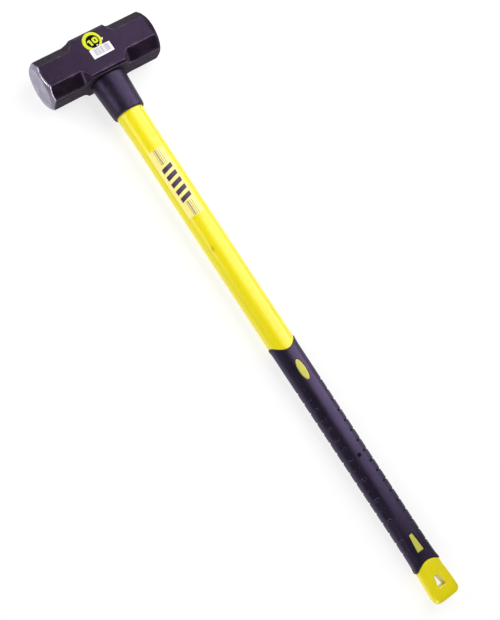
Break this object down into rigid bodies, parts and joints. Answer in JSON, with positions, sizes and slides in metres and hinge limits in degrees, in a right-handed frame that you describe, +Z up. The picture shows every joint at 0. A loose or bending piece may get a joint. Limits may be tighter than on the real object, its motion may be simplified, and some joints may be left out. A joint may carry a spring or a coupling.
{
  "type": "sledgehammer",
  "caption": "Long-handled double-faced sledgehammer: octagonal forged head, yellow moulded handle, black collar and rubber grip, hang hole in the butt.",
  "frame": {"origin": "the point of the head's lower side flat straight below the crossing of the head axis and the handle axis", "axes": "+Z up with the hammer lying on its side, X along the head, the handle leaves the head toward -Y and the head's top faces +Y"},
  "size_m": [0.1812, 0.9098, 0.064],
  "materials": {
    "forged_steel": "dark lacquer over forged steel, striking faces bare and ground",
    "epoxy": "cured resin, slightly glossy",
    "weight_label_film": "printed film, yellow ring round a black disc",
    "label_paper": "white paper with grey bars",
    "fibreglass": "pultruded rod, sawn end",
    "yellow_plastic": "moulded, satin gloss",
    "black_plastic": "moulded, satin",
    "grip_rubber": "soft moulded elastomer, satin",
    "clear_label_film": "translucent film with thin stripes"
  },
  "bodies": {
    "root": {"head": "forged_steel", "eye_epoxy": "epoxy", "weight_label": "weight_label_film", "barcode_label": "label_paper", "handle_core": "fibreglass", "handle_jacket": "yellow_plastic", "collar": "black_plastic", "grip": "grip_rubber", "shaft_label": "clear_label_film"}
  },
  "joints": []
}
